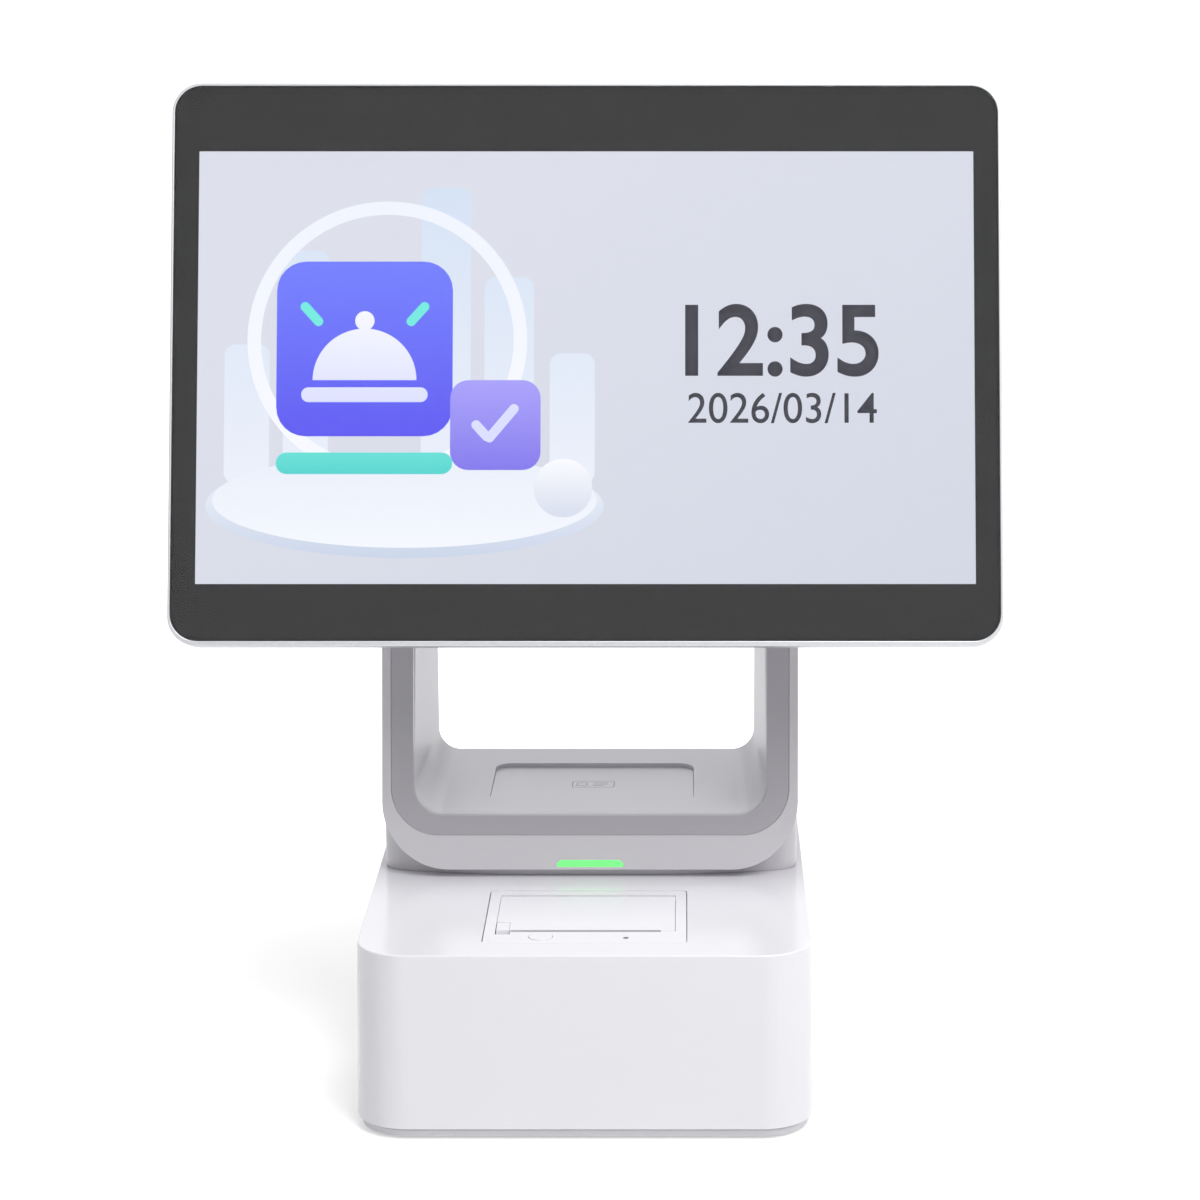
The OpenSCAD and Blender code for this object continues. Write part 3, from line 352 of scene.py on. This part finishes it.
# Printer: a white panel dropped into the base top, with the paper door on a steel pin,
# its release tab, the rubber roller it carries, the toothed tear bar and the feed gears below.

panel_white = moulded(
    "panel_white", paint(236, 235, 239), gloss=0.33, pit_depth=0.000008, grain=3000.0, drift=0.02
)
softened("printer_frame", panel_white, radius=0)
softened("paper_door", panel_white, radius=0)
softened("release_lever", panel_white, radius=0.00012, steps=2)
softened("feed_button", panel_white, radius=0.0003)
lens_dark = moulded("lens_dark", paint(86, 88, 92), gloss=0.12, pit_depth=0.000002)
softened("printer_lens", lens_dark, radius=0.0003, steps=2)
roller_rubber = moulded(
    "roller_rubber", paint(48, 48, 50), gloss=0.7, pit_depth=0.00004, grain=1800.0, drift=0.15
)
softened("platen_roller", roller_rubber, radius=0.0004, steps=2)
gear_cream = moulded("gear_cream", paint(232, 228, 214), gloss=0.4, pit_depth=0.00001)
dress(gear_cream, "platen_gear", "idler_gear")
bright_steel = metal("bright_steel", paint(205, 206, 208), gloss=0.2, stretch_by=LINES_ALONG_X)
dress(bright_steel, "platen_shaft", "door_pin", "lever_pin")
bar_steel = metal("bar_steel", paint(112, 113, 116), gloss=0.42, stretch_by=LINES_ALONG_X)
dress(bar_steel, "tear_bar")
sheet_steel = metal("sheet_steel", paint(178, 180, 182), gloss=0.34, stretch_by=(700.0, 700.0, 60.0))
dress(sheet_steel, "head_bracket", "motor_bracket", "feed_motor", "lcd_backplate")
bush_brass = metal("bush_brass", paint(196, 160, 96), gloss=0.3, stretch_by=(1400.0, 1400.0, 1400.0))
dress(bush_brass, "platen_bushes", "motor_pinion", "hinge_washers")
head_ceramic = moulded("head_ceramic", paint(70, 72, 76), gloss=0.4, pit_depth=0.00001)
dress(head_ceramic, "thermal_head")


# Arch: a white rear shell and a leaning front ring screwed to the base, a grey band let into the ring,
# and a smooth white lining through the opening.

# The arch white is set well below the base cover's white. Part of that is a slightly greyer plastic, and
# part is painted shade standing for the screen's shadow over the ring.
arch_greyish_white_painted_shade = moulded(
    "arch_greyish_white_painted_shade", paint(206, 204, 208), gloss=0.33, pit_depth=0.000006, grain=3200.0, drift=0.02
)
softened("arch_shell", arch_greyish_white_painted_shade, radius=0.0006, pierced=True)
softened("arch_front", arch_greyish_white_painted_shade, radius=0.0004, pierced=True)
band_grey = moulded(
    "band_grey", paint(172, 170, 175), gloss=0.36, pit_depth=0.000012, grain=2800.0, drift=0.03
)
softened("arch_band", band_grey, radius=0.00012, steps=2, pierced=True)
liner_white = moulded(
    "liner_white", paint(221, 220, 224), gloss=0.42, pit_depth=0.000006, grain=3200.0, drift=0.02
)
liner_white.node_tree.nodes["Principled BSDF"].inputs["Specular IOR Level"].default_value = 0.36
softened("tunnel_liner", liner_white, radius=0.0002, steps=2, pierced=True)
dress(screw_zinc, "arch_screws")


# Card pad: the reading surface let into the floor of the opening, sloping down to the back,
# with the outline of a card printed in grey near its middle.

pad_white = moulded(
    "pad_white", paint(216, 215, 219), gloss=0.34, pit_depth=0.00001, grain=2800.0, drift=0.02
)
softened("card_pad", pad_white, radius=0.0002, steps=2, pierced=True)
sign_grey = moulded("sign_grey", paint(138, 137, 142), gloss=0.4, pit_depth=0.000002)
PAD_FRONT_RIM = 0.001
PAD_BACK_RIM = 0.003
PAD_DROP = 0.0019
SIGN_ALONG_PAD = 0.474
INK_THICK = 0.00006
SIGN_LINE = 0.0005
SIGN_ROW_STEP = 0.0023
pad_low, pad_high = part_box("card_pad")
pad_front = Vector((0, pad_low[1] + PAD_FRONT_RIM, pad_high[2]))
pad_back = Vector((0, pad_high[1] - PAD_BACK_RIM, pad_high[2] - PAD_DROP))
pad_slope = math.atan2(pad_back.z - pad_front.z, pad_back.y - pad_front.y)
sign_middle = pad_front.lerp(pad_back, SIGN_ALONG_PAD)


def rounded_plate(width, height, corner):
    """A flat plate with rounded corners, lying at the origin and left in edit mode."""
    bpy.ops.object.select_all(action="DESELECT")
    bpy.ops.mesh.primitive_plane_add(size=1, location=(0, 0, 0))
    plate = bpy.context.object
    plate.scale = (width, height, 1)
    bpy.ops.object.transform_apply(location=False, rotation=False, scale=True)
    bpy.ops.object.mode_set(mode="EDIT")
    bpy.ops.mesh.select_all(action="SELECT")
    bpy.ops.mesh.bevel(offset=corner, segments=6, affect="VERTICES")
    return plate


def hollow(rim):
    """Cuts the middle out of the plate being edited and leaves a rim."""
    bpy.ops.mesh.inset(thickness=rim)
    bpy.ops.mesh.delete(type="FACE")


def print_on_pad(mark, name, x, y):
    """Gives a flat mark the thickness of ink and lays it on the sloping pad."""
    bpy.ops.object.mode_set(mode="OBJECT")
    mark.name = name
    ink = mark.modifiers.new("ink", "SOLIDIFY")
    ink.thickness = INK_THICK
    ink.offset = 0
    bpy.ops.object.modifier_apply(modifier=ink.name)
    on_pad = Matrix.Translation(sign_middle) @ Matrix.Rotation(pad_slope, 4, "X")
    mark.matrix_world = on_pad @ Matrix.Translation((x, y, 0))
    bpy.ops.object.transform_apply(location=True, rotation=True, scale=True)
    mark.data.materials.append(sign_grey)
    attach(mark, "stand")


outline = rounded_plate(0.0204, 0.0118, 0.0014)
hollow(SIGN_LINE)
print_on_pad(outline, "card_sign_outline", 0, 0)
patch = rounded_plate(0.0052, 0.0058, 0.0006)
hollow(SIGN_LINE)
print_on_pad(patch, "card_sign_patch", -0.0054, 0)
for row, length in ((-1, 0.0052), (0, 0.0072), (1, 0.0072)):
    line = rounded_plate(length, 0.0006, 0.00028)
    print_on_pad(line, "card_sign_line_%d" % (row + 2), -0.0002 + length / 2, row * SIGN_ROW_STEP)


# Status light: a clear green bar in the lower lip of the arch, lit from the board behind it.
# The bar is moulded in one piece and clips in from the back of the ring.

light_green, tree, shader = new_finish("light_green")
where = tree.nodes.new("ShaderNodeTexCoord")
spread = tree.nodes.new("ShaderNodeTexNoise")
spread.inputs["Scale"].default_value = 120
glow = tree.nodes.new("ShaderNodeMix")
glow.data_type = "RGBA"
glow.inputs["A"].default_value = (0.13, 1.0, 0.17, 1)
glow.inputs["B"].default_value = (0.17, 1.0, 0.21, 1)
tree.links.new(where.outputs["Object"], spread.inputs["Vector"])
tree.links.new(spread.outputs["Fac"], glow.inputs["Factor"])
tree.links.new(glow.outputs["Result"], shader.inputs["Emission Color"])
shader.inputs["Base Color"].default_value = (0.05, 0.3, 0.07, 1)
shader.inputs["Roughness"].default_value = 0.25
shader.inputs["Emission Strength"].default_value = 1.1
softened("status_light", light_green, radius=0.0003)


# Hinge: two black steel brackets, one on the arch and one on the screen,
# on stiff steel pins with brass washers that hold the screen where it is put.

hinge_black = moulded(
    "hinge_black", paint(58, 58, 61), gloss=0.42, pit_depth=0.00003, grain=2200.0, drift=0.1
)
softened("hinge_base", hinge_black, radius=0.0006)
softened("hinge_leaf", hinge_black, radius=0.0006)
softened("hinge_pins", key_metal, radius=0.0004)


# Screen housing: a slim silver frame round the glass and a white bulged cover behind it,
# held together by ten small screws.

frame_silver = metal(
    "frame_silver", paint(196, 197, 200), gloss=0.36, stretch_by=EVEN_LINES, line_depth=0.000002
)
softened("screen_bezel", frame_silver, radius=0.0004)
softened("screen_rear_cover", shell_white, radius=0.0005)
dress(screw_zinc, "cover_screws")


# Display: the panel glows through the cover glass, whose back is printed black round the picture.
# The glass lies in the silver frame with a bonded edge, and the panel sits in a steel tray behind it.

UNLIT = (0.01, 0.01, 0.012, 1)
display_glow, tree, shader = new_finish("display_glow")
where = tree.nodes.new("ShaderNodeTexCoord")
turn = tree.nodes.new("ShaderNodeMapping")
turn.inputs["Location"].default_value = (0.5, 0, -0.72)
turn.inputs["Scale"].default_value = (1.6, 0, 3.0)
axes = tree.nodes.new("ShaderNodeSeparateXYZ")
fade = tree.nodes.new("ShaderNodeMath")
fade.operation = "SUBTRACT"
sky = tree.nodes.new("ShaderNodeMix")
sky.data_type = "RGBA"
sky.clamp_factor = True
sky.inputs["A"].default_value = (*paint(220, 223, 235), 1)
sky.inputs["B"].default_value = (*paint(207, 212, 225), 1)
tree.links.new(where.outputs["Object"], turn.inputs["Vector"])
tree.links.new(turn.outputs["Vector"], axes.inputs["Vector"])
tree.links.new(axes.outputs["X"], fade.inputs[0])
tree.links.new(axes.outputs["Z"], fade.inputs[1])
tree.links.new(fade.outputs[0], sky.inputs["Factor"])
tree.links.new(sky.outputs["Result"], shader.inputs["Emission Color"])
shader.inputs["Base Color"].default_value = UNLIT
shader.inputs["Roughness"].default_value = 0.6
shader.inputs["Emission Strength"].default_value = 0.955
dress(display_glow, "lcd_panel")

# The black print is lifted to a dark grey. This is painted reflection of the surroundings, which the weakly
# reflecting cover glass no longer mirrors.
mask_black_painted_reflection = moulded("mask_black_painted_reflection", paint(52, 52, 53), gloss=0.6, pit_depth=0.0000002)
mask_black_painted_reflection.node_tree.nodes["Principled BSDF"].inputs["Specular IOR Level"].default_value = 0.1
dress(mask_black_painted_reflection, "glass_mask")

cover_glass, tree, shader = new_finish("cover_glass")
shader.inputs["Base Color"].default_value = (1, 1, 1, 1)
shader.inputs["Roughness"].default_value = 0
shader.inputs["Transmission Weight"].default_value = 1
shader.inputs["IOR"].default_value = 1.22
softened("touch_glass", cover_glass, radius=0.0005)


# Picture: what the panel shows, a plain counter bell on tiles before pale columns, with a time and a date.
# Each shape is a thin lit layer between the panel and the cover glass.

SCREEN_MIDDLE = (0, -0.01925, 0.3255)
SCREEN_LEAN = math.radians(-16.9)
PANEL_FACE = 0.00212
LAYER_STEP = 0.00003
FILM_THICK = 0.00001
BELL_X = -0.098
STAGE_X = -0.080
COLUMN_FOOT = -0.052
CHIME_REACH = 0.0235
STROKE = 0.0042
screen_place = Matrix.Translation(SCREEN_MIDDLE) @ Matrix.Rotation(SCREEN_LEAN, 4, "X")


def lit(name, foot, head, foot_z, head_z):
    """A glowing colour that runs from one shade at its foot to another at its head."""
    finish, tree, shader = new_finish(name)
    where = tree.nodes.new("ShaderNodeTexCoord")
    axes = tree.nodes.new("ShaderNodeSeparateXYZ")
    climb = tree.nodes.new("ShaderNodeMapRange")
    climb.inputs["From Min"].default_value = (screen_place @ Vector((0, 0, foot_z))).z
    climb.inputs["From Max"].default_value = (screen_place @ Vector((0, 0, head_z))).z
    run = tree.nodes.new("ShaderNodeMix")
    run.data_type = "RGBA"
    run.inputs["A"].default_value = (*paint(*foot), 1)
    run.inputs["B"].default_value = (*paint(*head), 1)
    tree.links.new(where.outputs["Object"], axes.inputs["Vector"])
    tree.links.new(axes.outputs["Z"], climb.inputs["Value"])
    tree.links.new(climb.outputs["Result"], run.inputs["Factor"])
    tree.links.new(run.outputs["Result"], shader.inputs["Emission Color"])
    shader.inputs["Emission Strength"].default_value = 1
    shader.inputs["Base Color"].default_value = UNLIT
    shader.inputs["Roughness"].default_value = 0.6
    return finish


def show(shape, name, x, z, layer, finish, turn=0.0):
    """Stands a flat shape in the picture, a layer at a time ahead of the panel."""
    if bpy.context.mode != "OBJECT":
        bpy.ops.object.mode_set(mode="OBJECT")
    shape.name = name
    film = shape.modifiers.new("film", "SOLIDIFY")
    film.thickness = FILM_THICK
    bpy.ops.object.modifier_apply(modifier=film.name)
    place = Matrix.Translation((x, PANEL_FACE - layer * LAYER_STEP, z))
    upright = Matrix.Rotation(turn, 4, "Y") @ Matrix.Rotation(math.radians(90), 4, "X")
    shape.matrix_world = screen_place @ place @ upright
    bpy.ops.object.transform_apply(location=True, rotation=True, scale=True)
    shape.data.materials.clear()
    shape.data.materials.append(finish)
    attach(shape, "screen")


def disc(across, high):
    """A filled round or oval plate, left in edit mode."""
    bpy.ops.object.select_all(action="DESELECT")
    bpy.ops.mesh.primitive_circle_add(vertices=72, radius=0.5, fill_type="NGON", location=(0, 0, 0))
    plate = bpy.context.object
    plate.scale = (across, high, 1)
    bpy.ops.object.transform_apply(location=False, rotation=False, scale=True)
    bpy.ops.object.mode_set(mode="EDIT")
    bpy.ops.mesh.select_all(action="SELECT")
    return plate


column_pale = lit("column_pale", (232, 236, 246), (206, 220, 240), foot_z=-0.06, head_z=0.09)
columns = (
    (-0.150, 0.020, 0.062),
    (-0.124, 0.020, 0.104),
    (-0.062, 0.022, 0.132),
    (-0.034, 0.022, 0.092),
    (-0.006, 0.020, 0.058),
)
for number, (x, width, height) in enumerate(columns, 1):
    column = rounded_plate(width, height, 0.005)
    show(column, "picture_column_%d" % number, x, COLUMN_FOOT + height / 2, 0, column_pale)
stage_pale = lit("stage_pale", (196, 208, 228), (238, 241, 249), foot_z=-0.086, head_z=-0.04)
show(disc(0.176, 0.046), "picture_stage_edge", STAGE_X, -0.062, 1, stage_pale)
stage_top = lit("stage_top", (240, 243, 250), (226, 232, 244), foot_z=-0.08, head_z=-0.03)
show(disc(0.170, 0.042), "picture_stage_top", STAGE_X, -0.0595, 2, stage_top)
ring_white = lit("ring_white", (244, 246, 252), (236, 240, 250), foot_z=-0.06, head_z=0.08)
ring = disc(0.124, 0.124)
hollow(0.006)
show(ring, "picture_ring", -0.088, 0.012, 1, ring_white)
tile_blue = lit("tile_blue", (72, 62, 236), (104, 118, 250), foot_z=-0.04, head_z=0.05)
show(rounded_plate(0.078, 0.078, 0.013), "picture_bell_tile", BELL_X, 0.008, 3, tile_blue)
tile_violet = lit("tile_violet", (116, 104, 232), (168, 160, 248), foot_z=-0.05, head_z=0.0)
show(rounded_plate(0.040, 0.040, 0.008), "picture_tick_tile", -0.040, -0.026, 4, tile_violet)
bar_teal = lit("bar_teal", (62, 206, 200), (104, 230, 218), foot_z=-0.05, head_z=-0.03)
show(rounded_plate(0.078, 0.0096, 0.0047), "picture_bar", BELL_X, -0.043, 4, bar_teal)
bell_white = lit("bell_white", (214, 218, 252), (246, 247, 255), foot_z=-0.02, head_z=0.03)
dome = disc(0.046, 0.046)
bpy.ops.mesh.bisect(plane_co=(0, 0, 0), plane_no=(0, 1, 0), clear_inner=True)
show(dome, "picture_bell_dome", BELL_X, -0.006, 5, bell_white)
show(rounded_plate(0.056, 0.0066, 0.0032), "picture_bell_foot", BELL_X, -0.0125, 5, bell_white)
show(disc(0.0086, 0.0086), "picture_bell_knob", BELL_X, 0.0205, 4, bell_white)
for side in (-1, 1):
    chime = rounded_plate(STROKE, 0.0130, 0.002)
    lean = side * math.radians(42)
    show(chime, "picture_chime_%d" % (side + 2), BELL_X + side * CHIME_REACH, CHIME_REACH, 4, bar_teal, lean)
tick = rounded_plate(STROKE, 0.0110, 0.002)
show(tick, "picture_tick_short", -0.0462, -0.0285, 5, bell_white, math.radians(-42))
tick = rounded_plate(STROKE, 0.0210, 0.002)
show(tick, "picture_tick_long", -0.0372, -0.0252, 5, bell_white, math.radians(40))
ball_pale = lit("ball_pale", (212, 218, 234), (248, 249, 253), foot_z=-0.066, head_z=-0.04)
show(disc(0.026, 0.026), "picture_ball", -0.010, -0.054, 5, ball_pale)

digit_grey = lit("digit_grey", (44, 43, 56), (46, 45, 58), foot_z=-0.03, head_z=0.03)


def figures(text, name, width, height, x, z, weight):
    """Plain figures set to a width and height."""
    bpy.ops.object.select_all(action="DESELECT")
    bpy.ops.object.text_add(location=(0, 0, 0))
    sign = bpy.context.object
    sign.data.body = text
    sign.data.align_x = "CENTER"
    sign.data.offset = weight
    bpy.ops.object.convert(target="MESH")
    sign = bpy.context.object
    low = Vector(map(min, *(v.co for v in sign.data.vertices)))
    high = Vector(map(max, *(v.co for v in sign.data.vertices)))
    sign.data.transform(Matrix.Translation(-(low + high) / 2))
    sign.scale = (width / (high.x - low.x), height / (high.y - low.y), 1)
    bpy.ops.object.transform_apply(location=False, rotation=False, scale=True)
    show(sign, name, x, z, 1, digit_grey)


figures("12:35", "picture_time", width=0.0857, height=0.0325, x=0.0868, z=0.0118, weight=0.018)
figures("2026/03/14", "picture_date", width=0.0835, height=0.0135, x=0.0870, z=-0.0184, weight=0.002)


# Studio: a pale floor that keeps the shadow near the part, with painted light that grows with distance and
# washes the far shadow out, a white surround, and the view of the photograph.
# Two soft lamps hang at the upper right and overhead, and a weak one behind lights the opening.

# Painted light on the floor: for direct rays it glows at SHADOW_LIFT near the part and at full white beyond
# SHADOW_FAR, so the shadow fades out further away.
FLOOR_SIZE = 40
SHADOW_NEAR = 0.14
SHADOW_FAR = 0.6
SHADOW_LIFT = 0.45


def seen_directly(tree):
    """One for rays from the camera, off a mirror or through glass, and nought for all others."""
    rays = tree.nodes.new("ShaderNodeLightPath")
    seen = tree.nodes.new("ShaderNodeMath")
    seen.operation = "MAXIMUM"
    clear = tree.nodes.new("ShaderNodeMath")
    clear.operation = "MAXIMUM"
    tree.links.new(rays.outputs["Is Camera Ray"], seen.inputs[0])
    tree.links.new(rays.outputs["Is Glossy Ray"], seen.inputs[1])
    tree.links.new(seen.outputs[0], clear.inputs[0])
    tree.links.new(rays.outputs["Is Transmission Ray"], clear.inputs[1])
    return clear.outputs[0]


bpy.ops.object.select_all(action="DESELECT")
bpy.ops.mesh.primitive_plane_add(size=FLOOR_SIZE, location=(0, 0, 0))
floor = bpy.context.object
floor.name = "studio_floor"
floor_pale, tree, shader = new_finish("floor_pale")
shader.inputs["Base Color"].default_value = (0.82, 0.82, 0.82, 1)
shader.inputs["Roughness"].default_value = 0.9
shader.inputs["Specular IOR Level"].default_value = 0
shader.inputs["Emission Color"].default_value = (1, 1, 1, 1)
where = tree.nodes.new("ShaderNodeTexCoord")
reach = tree.nodes.new("ShaderNodeVectorMath")
reach.operation = "LENGTH"
far = tree.nodes.new("ShaderNodeMapRange")
far.inputs["From Min"].default_value = SHADOW_NEAR
far.inputs["From Max"].default_value = SHADOW_FAR
far.inputs["To Min"].default_value = SHADOW_LIFT
far.inputs["To Max"].default_value = 1.0
tree.links.new(where.outputs["Object"], reach.inputs[0])
tree.links.new(reach.outputs["Value"], far.inputs["Value"])
lift = tree.nodes.new("ShaderNodeMath")
lift.operation = "MULTIPLY"
tree.links.new(far.outputs["Result"], lift.inputs[1])
tree.links.new(seen_directly(tree), lift.inputs[0])
tree.links.new(lift.outputs[0], shader.inputs["Emission Strength"])
floor.data.materials.append(floor_pale)

surround = bpy.data.worlds.new("surround")
bpy.context.scene.world = surround
surround.use_nodes = True
tree = surround.node_tree
tree.nodes.clear()
room = tree.nodes.new("ShaderNodeBackground")
room.inputs["Color"].default_value = (0.98, 0.98, 1, 1)
room.inputs["Strength"].default_value = 0.38
white = tree.nodes.new("ShaderNodeBackground")
white.inputs["Color"].default_value = (1, 1, 1, 1)
white.inputs["Strength"].default_value = 1
either = tree.nodes.new("ShaderNodeMixShader")
out = tree.nodes.new("ShaderNodeOutputWorld")
tree.links.new(seen_directly(tree), either.inputs[0])
tree.links.new(room.outputs[0], either.inputs[1])
tree.links.new(white.outputs[0], either.inputs[2])
tree.links.new(either.outputs[0], out.inputs["Surface"])


def lamp(name, place, aim, size, power):
    """A square soft lamp turned towards a point."""
    light = bpy.data.lights.new(name, "AREA")
    light.size = size
    light.energy = power
    holder = bpy.data.objects.new(name, light)
    bpy.context.scene.collection.objects.link(holder)
    holder.location = place
    holder.rotation_euler = (Vector(aim) - Vector(place)).to_track_quat("-Z", "Y").to_euler()
    holder.visible_camera = False
    holder.visible_transmission = False


lamp("key_lamp", (1.1, -1.36, 1.9), (0, -0.01, 0.18), size=1.2, power=23)
lamp("top_lamp", (0.4, -0.72, 2.0), (0, -0.06, 0.1), size=0.8, power=19)
lamp("back_lamp", (0.0, 1.3, 1.2), (0, 0.1, 0.12), size=1.0, power=6)

VIEW_PLACE = (0.0436, -1.42155, 0.5431)
VIEW_PITCH = math.radians(77)
VIEW_SHIFT = -0.0703
LENS_MM = 96
SENSOR_MM = 36
bpy.context.scene.view_settings.view_transform = "Standard"
view = bpy.data.cameras.new("photo_view")
view.sensor_width = SENSOR_MM
view.lens = LENS_MM
view.shift_x = VIEW_SHIFT
view.clip_end = 60
camera = bpy.data.objects.new("photo_view", view)
bpy.context.scene.collection.objects.link(camera)
camera.location = VIEW_PLACE
camera.rotation_euler = (VIEW_PITCH, 0, 0)
bpy.context.scene.camera = camera

bpy.context.view_layer.update()
